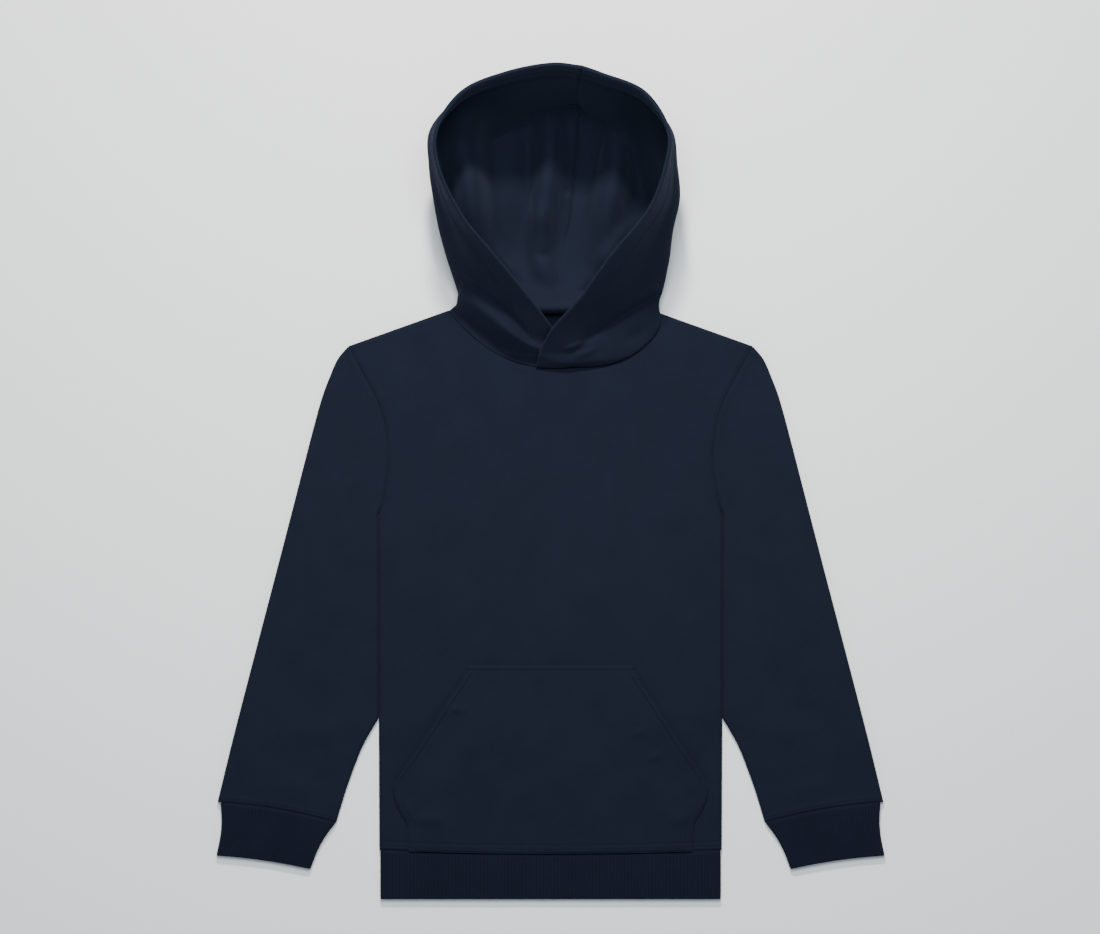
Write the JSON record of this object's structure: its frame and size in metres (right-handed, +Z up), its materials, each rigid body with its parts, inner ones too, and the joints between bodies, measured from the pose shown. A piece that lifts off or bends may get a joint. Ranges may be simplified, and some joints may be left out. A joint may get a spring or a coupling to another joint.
{
  "type": "toddler hoodie",
  "caption": "Child's pullover hoodie laid flat on its back, with an open hood, a kangaroo pocket and ribbed cuffs and hem.",
  "frame": {"origin": "middle of the garment's footprint, on the surface it lies on", "axes": "+Z up, out of the garment's face; +Y from the hem towards the hood; +X towards the wearer's left sleeve"},
  "size_m": [0.5, 0.6185, 0.117],
  "materials": {
    "fleece": "matte navy brushed-back sweatshirt knit",
    "rib": "matte navy rib knit, a little darker than the fleece"
  },
  "bodies": {
    "root": {"front": "fleece", "back": "fleece", "sleeve_left": "fleece", "sleeve_right": "fleece", "cuff_left": "rib", "cuff_right": "rib", "hem_band": "rib", "pocket": "fleece", "hood_left": "fleece", "hood_right": "fleece"}
  },
  "joints": []
}
